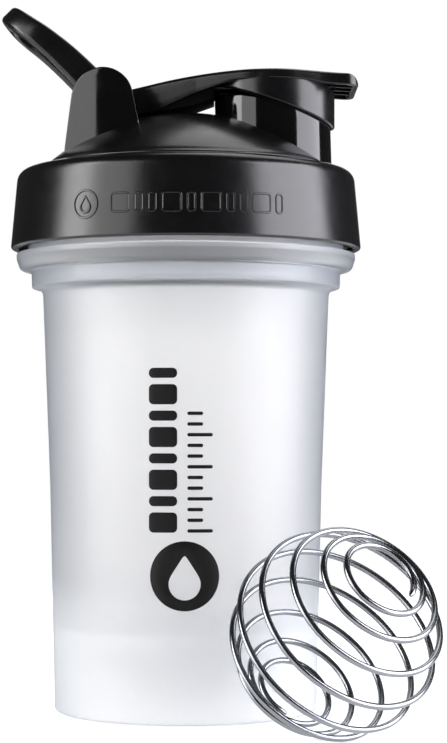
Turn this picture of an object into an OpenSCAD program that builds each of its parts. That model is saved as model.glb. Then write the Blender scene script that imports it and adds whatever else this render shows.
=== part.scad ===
/* [Bottle] */
// Diameter of the foot that the bottle stands on
base_d = 71.4; // [70.6:0.1:72.4]
// Diameter of the wall at the grip, where its slope changes
grip_d = 74.2; // [73.6:0.1:74.8]
// Diameter of the wall just under the neck
shoulder_d = 78.4; // [77.8:0.1:79]
// Height of the bottle's rim
rim_z = 142.5; // [142:0.1:143]
// Thickness of the moulded wall
wall = 1.3; // [1.1:0.1:1.6]
// Height where the round inside floor begins
bowl_z = 31; // [28:0.5:34]
// Height of the inside floor's lowest point
floor_z = 5.5; // [4.5:0.5:8]

/* [Neck] */
// Diameter of the neck under its thread
neck_d = 86.4; // [86:0.1:86.8]
// Diameter of the bead that shows under the lid
bead_d = 92.8; // [92:0.1:93.6]
// Height of the bead's underside
bead_z = 119.4; // [119:0.1:119.8]
// Rise of the screw thread in one turn
thread_pitch = 6; // [5.5:0.1:6.5]
// Turns of thread on the neck and in the lid
thread_turns = 1.25; // [1:0.05:1.5]

/* [Lid] */
// Diameter of the lid at its lower rim
lid_d = 96; // [95.6:0.1:97]
// Height of the lid's lower rim
lid_z = 125.5; // [125.2:0.1:126]
// Radius of the domed top
dome_r = 58; // [57:0.5:59]
// Height of the dome's highest point
dome_z = 163; // [162.5:0.1:163.3]

/* [Hinge] */
// Distance of the hinge pin behind the bottle's axis
hinge_back = 22.2; // [22:0.1:22.6]
// Height of the hinge pin
hinge_z = 164.8; // [164.6:0.1:165.2]
// Diameter of the hinge pin
pin_d = 4; // [3.6:0.1:4.4]
// Distance between the two ears
ear_gap = 28; // [27.8:0.1:28.4]
// Greatest thickness of an ear
ear_t = 5.8; // [5.4:0.1:6.2]

/* [Spout and flip cap] */
// Distance of the spout's middle in front of the bottle's axis
spout_x = 23.8; // [23.4:0.1:24]
// Outer diameter of the spout
spout_d = 31.8; // [31.4:0.1:32]
// Diameter of the drinking hole
drink_d = 19; // [17:0.5:20]
// Slope of the spout's rim
rim_slope = 11; // [9:1:12]
// Radius of the long arch of the cap's top
arch_r = 200; // [190:1:215]
// Height of the arch's highest point
arch_z = 173.4; // [173.2:0.1:173.8]

/* [Carry loop] */
// Length of the loop from its pin
loop_len = 38.2; // [36:0.1:38.4]
// Width of the loop
loop_w = 27.4; // [27:0.1:27.6]
// Angle of the loop above the front, when it stands up
loop_angle = 135; // [134:1:138]

/* [Whisk ball] */
// Diameter over the wire
ball_d = 52.4; // [48:0.1:54]
// Diameter of the wire
wire_d = 1.6; // [1.4:0.1:2]
// Turns of wire between the two end rings
ball_turns = 8; // [6:1:8]

/* [Hidden] */
eps = 0.01;
$fn = 96;

// Bottle
base_r = base_d / 2;
grip_r = grip_d / 2;
shoulder_r = shoulder_d / 2;
grip_z = 61;
shoulder_z = 110.6;
foot_round = 1.2;
bowl_t = 1.5;          // thickness of the round floor at its middle
bowl_r = 33.9;         // inside radius where the round floor begins
skirt_gap_z = 24.5;    // highest point of the hollow between skirt and floor
step_r = 42.2;         // ring between the wall and the bead
step_z = 114.5;
bead_r = bead_d / 2;
bead_h = 4.9;
bead_round = 3.6;
neck_r = neck_d / 2;
neck_wall = 2;
neck_in_r = neck_r - neck_wall;
rim_round = 0.5;

// Thread, cut the same on the neck and in the lid
thread_h = 1.35;
thread_base = 2.6;     // width at the root
thread_crest = 1.2;    // width at the crest
thread_z = 130;        // where the neck's thread begins
thread_sink = 0.3;     // how far the root is buried in its wall
thread_steps = 36;     // steps in a turn
thread_fade = 5;       // steps over which each end runs out

// Lid
lid_r = lid_d / 2;
lid_in_r = 44.9;
lid_mouth_r = 45.9;    // relief inside the lower rim
lid_top_r = 46.15;     // outside radius where the shoulder begins to round
lid_top_z = 143.6;
lid_round = 3.4;
ledge_z = 148.6;       // top of the sloping ledge, at the foot of the dome
ceiling_z = 144.2;     // flat ring that presses on the seal
dome_c = dome_z - dome_r;
dome_t = 1.8;
dome_foot_r = 38.4;
lip_r = 39.4;          // short inner lip that keeps the seal in place
lip_t = 1.2;
lip_z = 141.2;

// Seal
seal_gap = 0.05;
seal_in_r = lip_r + 0.15;
seal_out_r = 44;

// Hinge
pin_r = pin_d / 2;
pin_half = 15.4;
pin_play = 0.06;       // running clearance of a knuckle on the pin
ear_r = 8.45;
ear_in = ear_gap / 2;
ear_out = ear_in + ear_t;
ear_face_r = 41;       // the outer faces are rounded, seen from above
ear_face_x = -13.4;    // where they stand furthest out
knuckle_r = 5.2;
cap_knuckle_half = 8.4;
loop_knuckle_in = 8.9;

// Spout
spout_r = spout_d / 2;
spout_wall = 1.6;
spout_back_z = 168.2;  // height of the rim at its back
deck_down = 3.2;       // the deck with the hole lies this far under the rim
deck_t = 1.8;
deck_z = spout_back_z - spout_r * tan(rim_slope) - deck_down / cos(rim_slope);
drink_r = drink_d / 2;

// Flip cap
cover_play = 0.3;      // clearance between the spout and the cap's cover
cover_t = 0.9;
cover_in_r = spout_r + cover_play;
cover_r = cover_in_r + cover_t;
cover_slope = 18.7;
cover_z = 164.5;       // height of the cover's lower edge at the spout's middle
cap_t = 1.9;           // thickness of the cap's top
cap_edge = 2.8;        // depth of the cap's edge over the cover
cap_side = 1.6;        // thickness of the arm's side walls
cap_rib_t = 1.6;
arch_x = 26;           // where the arch is highest
tab_x = 46.8;          // end of the thumb tab
tab_half = 13.8;
tab_round = 3.5;
tab_edge = 3.3;        // depth of the tab's edge
tab_wall = 1.7;        // thickness of that edge round the recess under the tab
tab_cut_x = 37;        // where the cover's edge gives way to the tab's
neck_half = 8.4;       // half width of the arm where it passes between the loop's feet
neck_x = -10.6;        // where the arm begins to widen
arm_half = 12;
arm_x = neck_x + 1.6;  // where the arm has reached that half width
core_end = 7.7;        // the core of the arm ends just behind the spout
core_room_x = -7.5;    // where the hollow in the core begins
plug_r = drink_r - 0.35;
plug_flange_r = 12.4;
plug_flange_t = 1.4;
boss_r = 6;

// Carry loop
loop_hole_half = 9;
loop_tip_t = 5;        // how wide the ring is at its tip

// Whisk ball, which stands on the table in front of the bottle
ball_pos = [37.9, -61, ball_d / 2];
ball_tilt = [0, 49.5, -55];
ball_spin = 180;
wire_r = wire_d / 2;
coil_r = ball_d / 2 - wire_r;
mid_step = 22;         // degrees between neighbouring turns at the middle of the ball
step_fade = 0.29;      // how fast the turns close up towards the two ends
tail_turns = 0.4;      // extra turn at each end, which ends inside the last ring
tail_step = 4;         // degrees that the tail closes in, in a turn
wire_steps = 22;       // steps in a turn of wire
wire_sides = 8;

BLACK = [0.06, 0.06, 0.065];
CLEAR = [0.9, 0.92, 0.94, 0.6];

function arc(x, z, r, a0, a1, n) = [
    for (i = [0:n]) let (a = a0 + (a1 - a0) * i / n) [x + r * cos(a), z + r * sin(a)]
];
function oval(rx, rz, z, a0, a1, n) =
    [for (i = [0:n]) let (a = a0 + (a1 - a0) * i / n) [rx * cos(a), z - rz * sin(a)]];
// Height of a plane that passes z at the spout's middle and falls towards the front
function sloping_z(x, z, slope) = z - (x - spout_x) * tan(slope);

// Draws a side view: x stays, y becomes height, and the slab is as thick as w across
module side_slab(w) {
    rotate([90, 0, 0]) linear_extrude(w, center = true) children();
}

// Skin of a tube: rows of points, each row a closed ring, capped at both ends
module tube_mesh(rows) {
    n = len(rows[0]);
    m = len(rows);
    sides = [for (i = [0:m - 2], j = [0:n - 1]) let (a = i * n + j, b = i * n + (j + 1) % n)
        each [[a, a + n, b], [b, a + n, b + n]]];
    caps = [[for (j = [0:n - 1]) j], [for (j = [n - 1:-1:0]) (m - 1) * n + j]];
    polyhedron([for (row = rows) each row], concat(sides, caps), convexity = 10);
}

// Screw ridge that climbs from z. Its root is at radius root and its crest at radius crest.
module thread_ridge(root, crest, z) {
    n = round(thread_turns * thread_steps);
    out = crest > root;
    rows = [for (i = [0:n])
        let (a = i * 360 / thread_steps, s = min(1, (i + 0.6) / thread_fade, (n - i + 0.6) / thread_fade))
        let (c = root + (crest - root) * s, h = z + thread_pitch * a / 360)
        let (ring = [[root, -thread_base], [c, -thread_crest], [c, thread_crest], [root, thread_base]])
        [for (p = (out ? ring : [ring[3], ring[2], ring[1], ring[0]]))
            [p[0] * cos(a), p[0] * sin(a), h + p[1] / 2]]];
    tube_mesh([for (row = rows) [for (j = [3:-1:0]) row[j]]]);
}

module bottle_profile() {
    polygon(concat(
        [[base_r - wall - 1.3, 0.4], [base_r - wall - 0.9, 0]],
        arc(base_r - foot_round, foot_round, foot_round, -90, 0, 6),
        [[grip_r, grip_z], [shoulder_r, shoulder_z]],
        arc(shoulder_r + 2.3, shoulder_z + 0.9, 2.3, 180, 105, 5),
        [[step_r, step_z], [step_r, bead_z]],
        arc(bead_r - bead_round, bead_z + bead_round, bead_round, -75, 0, 6),
        [[bead_r, bead_z + bead_h - 0.4], [bead_r - 0.4, bead_z + bead_h], [neck_r, bead_z + bead_h]],
        arc(neck_r - rim_round, rim_z - rim_round, rim_round, 0, 90, 3),
        arc(neck_in_r + rim_round, rim_z - rim_round, rim_round, 90, 180, 3),
        [[neck_in_r, bead_z + 1], [step_r - 1.8, step_z + 2], [shoulder_r - wall + 0.2, shoulder_z + 1.5]],
        [[shoulder_r - wall - 0.1, shoulder_z - 2], [grip_r - wall, grip_z]],
        oval(bowl_r, bowl_z - floor_z, bowl_z, 0, 90, 24),
        oval(bowl_r + wall, bowl_z - floor_z + bowl_t, bowl_z, 90, 16, 20),
        [[base_r - wall + 0.3, skirt_gap_z - 2]]
    ));
}

module bottle_body() {
    color(CLEAR) {
        rotate_extrude($fn = 180) bottle_profile();
        thread_ridge(neck_r - thread_sink, neck_r + thread_h, thread_z);
    }
}

module lid_outside() {
    rotate_extrude($fn = 180) polygon(concat(
        [[0, lid_z], [lid_r - 0.4, lid_z], [lid_r, lid_z + 0.5]],
        arc(lid_top_r - lid_round, lid_top_z, lid_round, 5, 80, 8),
        [[dome_foot_r + 0.4, ledge_z - 0.1]],
        arc(0, dome_c, dome_r, acos(dome_foot_r / dome_r), 90, 24)
    ));
}

module lid_hollow() {
    rotate_extrude($fn = 180) polygon(concat(
        [[0, lid_z - 1], [lid_mouth_r, lid_z - 1], [lid_mouth_r, lid_z + 3], [lid_in_r, lid_z + 4]],
        [[lid_in_r, ceiling_z - 0.8], [lid_in_r - 0.8, ceiling_z], [lip_r, ceiling_z], [lip_r, lip_z]],
        [[lip_r - lip_t, lip_z], [lip_r - lip_t, ceiling_z - 1], [dome_foot_r - 2, ledge_z - 2.2]],
        arc(0, dome_c, dome_r - dome_t, acos((dome_foot_r - 2.4) / (dome_r - dome_t)), 90, 20)
    ));
}

module ear_outline() {
    translate([-hinge_back, hinge_z]) circle(ear_r);
    polygon([
        [-hinge_back - ear_r, hinge_z + 0.6], [-hinge_back - ear_r - 2.5, 147], [-12, 147],
        [-12.2, 157], [-hinge_back + ear_r, hinge_z + 0.6]
    ]);
}

module ears() {
    for (side = [-1, 1]) intersection() {
        translate([0, side * (ear_out + 1 + ear_in) / 2, 0]) side_slab(ear_out + 1 - ear_in) ear_outline();
        translate([ear_face_x, side * (ear_out - ear_face_r), 140])
            cylinder(r = ear_face_r, h = 40, $fn = 240);
    }
}

// Everything under a plane that falls towards the front, inside radius r of the spout's middle
module under_slope(r, z, slope, from = 140) {
    intersection() {
        translate([spout_x, 0, from]) cylinder(r = r, h = 60);
        side_slab(80) polygon([
            [spout_x - 30, from - 1], [spout_x + 30, from - 1],
            [spout_x + 30, sloping_z(spout_x + 30, z, slope)], [spout_x - 30, sloping_z(spout_x - 30, z, slope)]
        ]);
    }
}

// Places its children on the deck, with their +Z square to it
module on_deck() {
    translate([spout_x, 0, deck_z]) rotate([0, rim_slope, 0]) children();
}

module lid_shell() {
    rim_mid_z = deck_z + deck_down / cos(rim_slope);
    color(BLACK) {
        difference() {
            union() {
                lid_outside();
                ears();
                under_slope(spout_r, rim_mid_z, rim_slope);
            }
            lid_hollow();
            // room under the deck, and the recess above it
            under_slope(spout_r - spout_wall, deck_z - deck_t / cos(rim_slope), rim_slope, from = 146.8);
            on_deck() cylinder(r = spout_r - spout_wall, h = 12);
            on_deck() translate([0, 0, -deck_t - 1]) cylinder(r = drink_r, h = deck_t + 2);
            translate([-hinge_back, 0, hinge_z]) rotate([90, 0, 0])
                cylinder(r = pin_r + 0.02, h = 2 * pin_half + 0.1, center = true);
        }
        thread_ridge(lid_in_r + thread_sink, lid_in_r - thread_h, thread_z - thread_pitch / 2);
    }
}

module lid_seal() {
    color([0.75, 0.76, 0.78]) translate([0, 0, rim_z + seal_gap]) difference() {
        cylinder(r = seal_out_r, h = ceiling_z - rim_z - 2 * seal_gap, $fn = 180);
        translate([0, 0, -1]) cylinder(r = seal_in_r, h = 5, $fn = 180);
    }
}

module hinge_pin() {
    color("silver") translate([-hinge_back, 0, hinge_z]) rotate([90, 0, 0]) difference() {
        cylinder(r = pin_r, h = 2 * pin_half, center = true);
        for (end = [0, 1]) mirror([0, 0, end]) translate([0, 0, pin_half - 0.5]) difference() {
            cylinder(r = pin_r + 1, h = 1);
            translate([0, 0, -eps]) cylinder(r1 = pin_r, r2 = pin_r - 0.5, h = 0.5 + 2 * eps);
        }
    }
}

// Everything under a cylinder that arches over the cap, lowered by down
module under_arch(down) {
    translate([arch_x, 0, arch_z - arch_r]) rotate([90, 0, 0])
        cylinder(r = arch_r - down, h = 60, center = true, $fn = 720);
}

// The arm from above. Its sides run from the hinge to the cover, drawn in by inset.
module arm_plan(inset, from_x) {
    end = spout_x - 4;
    polygon([
        [from_x, -arm_half + inset], [end, -cover_r + 0.6 + inset],
        [end, cover_r - 0.6 - inset], [from_x, arm_half - inset]
    ]);
}

module tab_plan(inset) {
    long = tab_x - inset - spout_x;
    wide = 2 * (tab_half - inset);
    corner = tab_round - inset;
    translate([spout_x, -wide / 2]) square([long - corner, wide]);
    translate([spout_x, -wide / 2 + corner]) square([long, wide - 2 * corner]);
    for (side = [-1, 1]) translate([tab_x - tab_round, side * (tab_half - tab_round)]) circle(corner);
}

// The cap's top plate: an edge of even depth that runs down into the deep sides of the arm and into the tab
module cap_plate() {
    intersection() {
        under_arch(0);
        difference() {
            union() {
                translate([spout_x, 0, 155]) cylinder(r = cover_r + 0.02, h = 30);
                translate([0, 0, 155]) linear_extrude(30) arm_plan(0, arm_x);
                translate([0, 0, 155]) linear_extrude(30) tab_plan(0);
            }
            intersection() {
                under_arch(cap_edge);
                translate([12, -30, 150]) cube([tab_cut_x - 12, 60, 40]);
            }
            intersection() {
                under_arch(tab_edge);
                translate([tab_cut_x - eps, -30, 150]) cube([30, 60, 40]);
            }
            side_slab(80) polygon([[-40, 150], [-40, 162.6], [arm_x, 162.6], [2, 167], [13, 170.2], [13, 150]]);
            // the rounded nose of the tab
            side_slab(80) polygon([
                [tab_x + eps, 169.4], [tab_x - 0.3, 170.4], [tab_x - 1.1, 171.5],
                [tab_x - 2.3, 172.3], [tab_x - 4, 172.9], [tab_x + 2, 176], [tab_x + 2, 169.4]
            ]);
        }
    }
}

// The narrow middle of the arm, from the hinge to the back of the cover
module arm_core() {
    intersection() {
        under_arch(0.02);
        side_slab(2 * neck_half) polygon([
            [-hinge_back, 161.2], [-12, 162.2], [-5, 163.2], [1.5, 164.2], [core_end, 166.4],
            [core_end, 180], [-hinge_back, 180]
        ]);
    }
}

module cap_cover() {
    difference() {
        translate([spout_x, 0, 150]) cylinder(r = cover_r, h = 21.3);
        under_slope(cover_r + 1, cover_z, cover_slope);
    }
}

// The recess under the thumb tab, with three ribs that run out to its edge
module tab_hollow() {
    difference() {
        translate([0, 0, 150]) linear_extrude(40) tab_plan(tab_wall);
        translate([spout_x, 0, 140]) cylinder(r = cover_r + 0.5, h = 50);
        for (y = [-6.4, -0.4, 5.6]) translate([spout_x, y, 140]) cube([25, 0.8, 50]);
    }
}

// The room under the plate: the cover's bore, the hollows beside and in the arm's core, and the tab's recess
module cap_hollow() {
    intersection() {
        under_arch(cap_t);
        union() {
            translate([spout_x, 0, 140]) cylinder(r = cover_in_r, h = 50);
            difference() {
                translate([0, 0, 150]) linear_extrude(40) arm_plan(cap_side, arm_x + cap_side);
                translate([spout_x, 0, 140]) cylinder(r = cover_r, h = 50);
                translate([-30, -neck_half, 140]) cube([60, 2 * neck_half, 50]);
            }
            translate([core_room_x, -neck_half + cap_side, 150])
                cube([13.4, 2 * (neck_half - cap_side), 40]);
            tab_hollow();
        }
    }
}

module flip_cap() {
    color(BLACK) difference() {
        union() {
            difference() {
                union() {
                    cap_plate();
                    arm_core();
                    cap_cover();
                }
                cap_hollow();
            }
            // stiffening rib under the arm, and the boss that carries the plug
            side_slab(cap_rib_t) polygon([
                [core_room_x - 1, 166.6], [core_room_x - 1, 169.4], [core_room_x + 14, 171.4],
                [core_room_x + 14, 166.6]
            ]);
            intersection() {
                on_deck() translate([0, 0, 0.6]) cylinder(r = boss_r, h = 14);
                under_arch(cap_t / 2);
            }
            translate([-hinge_back, 0, hinge_z]) rotate([90, 0, 0])
                cylinder(r = knuckle_r, h = 2 * cap_knuckle_half, center = true);
        }
        translate([-hinge_back, 0, hinge_z]) rotate([90, 0, 0])
            cylinder(r = pin_r + pin_play, h = 60, center = true);
    }
}

module spout_plug() {
    color([0.75, 0.76, 0.78]) on_deck() difference() {
        union() {
            translate([0, 0, 0.05]) cylinder(r = plug_flange_r, h = plug_flange_t);
            translate([0, 0, -deck_t]) cylinder(r1 = plug_r - 0.6, r2 = plug_r, h = deck_t + 0.1);
        }
        translate([0, 0, 0.6]) cylinder(r = boss_r, h = 3);
    }
}

// The loop lies along +X with its pin at the origin; its outer face is down until it is swung up
module loop_blank() {
    intersection() {
        side_slab(60) polygon([
            [0, -5.15], [9, -5.15], [14, -5], [18, -4.7], [22, -4.2], [26, -3.6], [30, -2.9],
            [34.5, -2.3], [loop_len - 1.3, -2.1], [loop_len, -1.1], [loop_len, 2.1], [loop_len - 1.3, 3.3],
            [34, 3.5], [30, 3.1], [25, 2.5], [20, 2.2], [14, 2.15], [9, 2.3], [0, 3.2]
        ]);
        linear_extrude(30, center = true) difference() {
            union() {
                translate([loop_len - loop_w / 2, 0]) circle(loop_w / 2);
                translate([0, -loop_w / 2]) square([loop_len - loop_w / 2, loop_w]);
            }
            translate([loop_len - loop_tip_t - loop_hole_half, 0]) circle(loop_hole_half);
            translate([-10, -loop_hole_half])
                square([loop_len - loop_tip_t - loop_hole_half + 10, 2 * loop_hole_half]);
        }
    }
}

module carry_loop() {
    foot = loop_w / 2 - loop_knuckle_in;
    color(BLACK) translate([-hinge_back, 0, hinge_z]) rotate([0, -loop_angle, 0]) difference() {
        union() {
            loop_blank();
            for (side = [-1, 1]) translate([0, side * (loop_knuckle_in + foot / 2), 0]) rotate([90, 0, 0])
                cylinder(r = knuckle_r, h = foot, center = true);
        }
        rotate([90, 0, 0]) cylinder(r = pin_r + pin_play, h = 60, center = true);
        cube([3 * knuckle_r, 2 * loop_knuckle_in, 3 * knuckle_r], center = true);
    }
}

// Polar angle of the wire, t turns from the middle of the ball
function wire_polar(t) =
    let (half = ball_turns / 2, u = min(half, max(-half, t)))
    90 + mid_step * u - step_fade * pow(u, 3) + tail_step * (t - u);
function wire_out(t) = let (p = wire_polar(t), a = 360 * t) [sin(p) * cos(a), sin(p) * sin(a), cos(p)];

module whisk_ball() {
    half = ball_turns / 2 + tail_turns;
    n = round(2 * half * wire_steps);
    rows = [for (i = [0:n])
        let (t = 2 * half * i / n - half, out = wire_out(t))
        let (ahead = wire_out(t + 0.01) - wire_out(t - 0.01), side = cross(ahead / norm(ahead), out))
        [for (j = [0:wire_sides - 1]) let (a = 360 * j / wire_sides)
            out * (coil_r + wire_r * cos(a)) + side * wire_r * sin(a)]];
    color("silver") translate(ball_pos) rotate(ball_tilt) rotate([0, 0, ball_spin]) tube_mesh(rows);
}

bottle_body();
lid_shell();
lid_seal();
hinge_pin();
flip_cap();
spout_plug();
carry_loop();
whisk_ball();
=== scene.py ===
"""Looks of the shaker bottle: camera, soft studio light, and the moulded, printed, rubber and wire pieces.

Lengths are in millimetres, as in the CAD source, and turn into metres where a mesh is made.
"""

import math

import bmesh
import bpy
from mathutils import Matrix, Vector


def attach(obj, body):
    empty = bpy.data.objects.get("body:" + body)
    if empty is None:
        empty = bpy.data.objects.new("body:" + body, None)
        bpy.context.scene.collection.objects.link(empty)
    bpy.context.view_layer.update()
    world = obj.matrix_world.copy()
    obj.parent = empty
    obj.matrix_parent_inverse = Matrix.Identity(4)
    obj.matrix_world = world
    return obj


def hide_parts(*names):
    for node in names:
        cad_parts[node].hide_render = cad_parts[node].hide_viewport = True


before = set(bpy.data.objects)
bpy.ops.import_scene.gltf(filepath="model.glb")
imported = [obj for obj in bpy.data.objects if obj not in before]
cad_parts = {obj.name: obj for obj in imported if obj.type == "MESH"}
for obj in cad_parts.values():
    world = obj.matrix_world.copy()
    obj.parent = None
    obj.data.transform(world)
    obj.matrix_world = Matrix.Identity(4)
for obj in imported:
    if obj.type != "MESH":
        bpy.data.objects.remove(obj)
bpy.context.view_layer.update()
scene = bpy.context.scene
MM = 0.001

# ---------------------------------------------------------------- camera, light, floor

CAMERA_POS = (10.3, -590.0, 76.2)
CAMERA_PITCH = 91.56  # degrees from straight down
CAMERA_LENS = 104.1
LIGHT_AIM = (0, 0, 100)
ROOM_LIGHT = 0.04  # brightness of the room where no softbox stands
FLOOR_HALF_X, FLOOR_HALF_Y, FLOOR_DROP = 700, 450, 0.2


def make_camera():
    """The camera at the photograph's viewing angle."""
    data = bpy.data.cameras.new("camera")
    data.lens = CAMERA_LENS
    data.sensor_width = 36
    data.clip_start = 0.01
    camera = bpy.data.objects.new("camera", data)
    camera.location = Vector(CAMERA_POS) * MM
    camera.rotation_euler = (math.radians(CAMERA_PITCH), 0, 0)
    scene.collection.objects.link(camera)
    scene.camera = camera


def area_light(name, azimuth, elevation, distance, width, height, power, colour=(1, 1, 1)):
    """A softbox that faces LIGHT_AIM. Azimuth runs from the camera's side, positive to the right."""
    data = bpy.data.lights.new(name, "AREA")
    data.color = colour
    data.shape = "RECTANGLE"
    data.size = width * MM
    data.size_y = height * MM
    data.energy = power
    light = bpy.data.objects.new(name, data)
    a, e = math.radians(azimuth), math.radians(elevation)
    way = Vector((math.sin(a) * math.cos(e), -math.cos(a) * math.cos(e), math.sin(e)))
    light.location = (Vector(LIGHT_AIM) + way * distance) * MM
    light.rotation_euler = way.to_track_quat("Z", "Y").to_euler()
    scene.collection.objects.link(light)


def make_light():
    """Five softboxes, and a white world that the camera sees but that lights the object only faintly."""
    area_light("softbox_left", -58, 8, 1100, 1000, 1400, 13)
    area_light("softbox_left_rear", -76, 8, 1050, 440, 1400, 10)
    area_light("softbox_right", 76, 8, 1100, 1120, 1400, 38, colour=(0.93, 0.93, 1.0))
    area_light("softbox_back", 148, 61, 1250, 780, 800, 3.9)
    area_light("backdrop", 180, 15, 1100, 480, 520, 0.9)
    world = bpy.data.worlds.new("studio")
    scene.world = world
    world.use_nodes = True
    nodes, links = world.node_tree.nodes, world.node_tree.links
    seen, room = nodes["Background"], nodes.new("ShaderNodeBackground")
    for background, strength in ((seen, 1.0), (room, ROOM_LIGHT)):
        background.inputs["Color"].default_value = (1, 1, 1, 1)
        background.inputs["Strength"].default_value = strength
    path = nodes.new("ShaderNodeLightPath")
    either = nodes.new("ShaderNodeMath")
    either.operation = "MAXIMUM"
    links.new(path.outputs["Is Camera Ray"], either.inputs[0])
    links.new(path.outputs["Is Transmission Ray"], either.inputs[1])
    mix = nodes.new("ShaderNodeMixShader")
    links.new(either.outputs[0], mix.inputs[0])
    links.new(room.outputs[0], mix.inputs[1])
    links.new(seen.outputs[0], mix.inputs[2])
    links.new(mix.outputs[0], nodes["World Output"].inputs["Surface"])
    scene.view_settings.view_transform = "Standard"


# ---------------------------------------------------------------- outlines


def arc(x, y, r, a0, a1, steps):
    """Points on a circle from angle a0 to a1, in degrees."""
    angles = [math.radians(a0 + (a1 - a0) * i / steps) for i in range(steps + 1)]
    return [(x + r * math.cos(a), y + r * math.sin(a)) for a in angles]


def circle(x, y, r, steps):
    """A closed ring of points, with the first one on the right."""
    angles = [2 * math.pi * i / steps for i in range(steps)]
    return [(x + r * math.cos(a), y + r * math.sin(a)) for a in angles]


def oval(rx, ry, y, a0, a1, steps):
    """Points on an ellipse, downwards from its middle's height y, from angle a0 to a1 in degrees."""
    angles = [math.radians(a0 + (a1 - a0) * i / steps) for i in range(steps + 1)]
    return [(rx * math.cos(a), y - ry * math.sin(a)) for a in angles]


def fillet(corners, closed=True, steps=6):
    """Rounds the corners of an outline. A corner is (x, y) or (x, y, radius)."""
    out = []
    n = len(corners)
    for i, corner in enumerate(corners):
        p = Vector(corner[:2])
        r = corner[2] if len(corner) > 2 else 0
        if r == 0 or (not closed and i in (0, n - 1)):
            out.append(tuple(p))
            continue
        a = Vector(corners[i - 1][:2]) - p
        b = Vector(corners[(i + 1) % n][:2]) - p
        half = a.angle(b) / 2
        if half > math.radians(89.5):
            out.append(tuple(p))
            continue
        run = min(r / math.tan(half), a.length * 0.49, b.length * 0.49)
        r = run * math.tan(half)
        start, end = p + a.normalized() * run, p + b.normalized() * run
        centre = p + (a.normalized() + b.normalized()).normalized() * (r / math.sin(half))
        u, v = start - centre, end - centre
        turn = math.atan2(u.x * v.y - u.y * v.x, u.dot(v))
        for k in range(steps + 1):
            t = turn * k / steps
            out.append((centre.x + u.x * math.cos(t) - u.y * math.sin(t),
                        centre.y + u.x * math.sin(t) + u.y * math.cos(t)))
    return out


def resample(points, step):
    """Evenly spaced points along a path, with both its ends kept."""
    lengths = [(b - a).length for a, b in zip(points, points[1:])]
    count = max(2, round(sum(lengths) / step))
    out, i, passed = [points[0]], 0, 0.0
    for k in range(1, count):
        want = sum(lengths) * k / count
        while i < len(lengths) - 1 and passed + lengths[i] < want:
            passed += lengths[i]
            i += 1
        out.append(points[i].lerp(points[i + 1], min(1, (want - passed) / max(lengths[i], 1e-6))))
    return out + [points[-1]]


def inward_normals(outline):
    """Unit normals at the points of a closed outline, towards its inside."""
    out = []
    for i in range(len(outline)):
        a, b = Vector(outline[i - 1]), Vector(outline[(i + 1) % len(outline)])
        t = (b - a).normalized()
        out.append(Vector((t.y, -t.x)))
    area = sum(outline[i - 1][0] * p[1] - p[0] * outline[i - 1][1] for i, p in enumerate(outline))
    return [-n if area > 0 else n for n in out]


# ---------------------------------------------------------------- meshes

SHARP = 32     # degrees between two faces above which their edge stays crisp
WELD = 0.002   # points of a turned piece that are this close become one


def piece(name, body, material, points, faces, sharp=SHARP, weld=0.0):
    """A new mesh piece that rides on a body. Edges above the angle sharp stay crisp."""
    mesh = bpy.data.meshes.new(name)
    mesh.from_pydata([Vector(p) * MM for p in points], [], faces)
    bm = bmesh.new()
    bm.from_mesh(mesh)
    if weld:
        bmesh.ops.remove_doubles(bm, verts=bm.verts, dist=weld * MM)
        bmesh.ops.dissolve_degenerate(bm, edges=bm.edges, dist=weld * MM)
    bmesh.ops.recalc_face_normals(bm, faces=bm.faces)
    bm.to_mesh(mesh)
    bm.free()
    obj = bpy.data.objects.new(name, mesh)
    scene.collection.objects.link(obj)
    smooth(obj, sharp)
    mesh.materials.append(material)
    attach(obj, body)
    return obj


def smooth(obj, sharp=SHARP):
    """Smooth shading, but for the sharp edges."""
    for face in obj.data.polygons:
        face.use_smooth = True
    obj.data.set_sharp_from_angle(angle=math.radians(sharp))


def grid_faces(rows, length, loop=False):
    """Faces between neighbouring rows, each a ring of points. Loop joins the last row to the first."""
    faces = []
    for i in range(rows if loop else rows - 1):
        a, b = i * length, ((i + 1) % rows) * length
        for j in range(length):
            k = (j + 1) % length
            faces.append((a + j, a + k, b + k, b + j))
    return faces


def lathe(name, body, material, profile, steps):
    """Turns a closed outline of (radius, height) round the bottle's axis."""
    points = []
    for i in range(steps):
        a = 2 * math.pi * i / steps
        points += [(r * math.cos(a), r * math.sin(a), z) for r, z in profile]
    faces = grid_faces(steps, len(profile), loop=True)
    return piece(name, body, material, points, faces, weld=WELD)


def cross_lathe(name, body, material, profile, x, z, steps=64):
    """Turns a closed outline of (radius, y) round an axis along Y through x and z."""
    points = []
    for i in range(steps):
        a = 2 * math.pi * i / steps
        points += [(x + r * math.cos(a), y, z + r * math.sin(a)) for r, y in profile]
    piece(name, body, material, points, grid_faces(steps, len(profile), loop=True))


def loft(name, body, material, rows, sharp=SHARP):
    """Skin over rows of points, each row a closed ring, with flat ends."""
    n = len(rows[0])
    points = [p for row in rows for p in row]
    faces = grid_faces(len(rows), n)
    faces.append(tuple(range(n)))
    faces.append(tuple((len(rows) - 1) * n + j for j in reversed(range(n))))
    return piece(name, body, material, points, faces, sharp)


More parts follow.
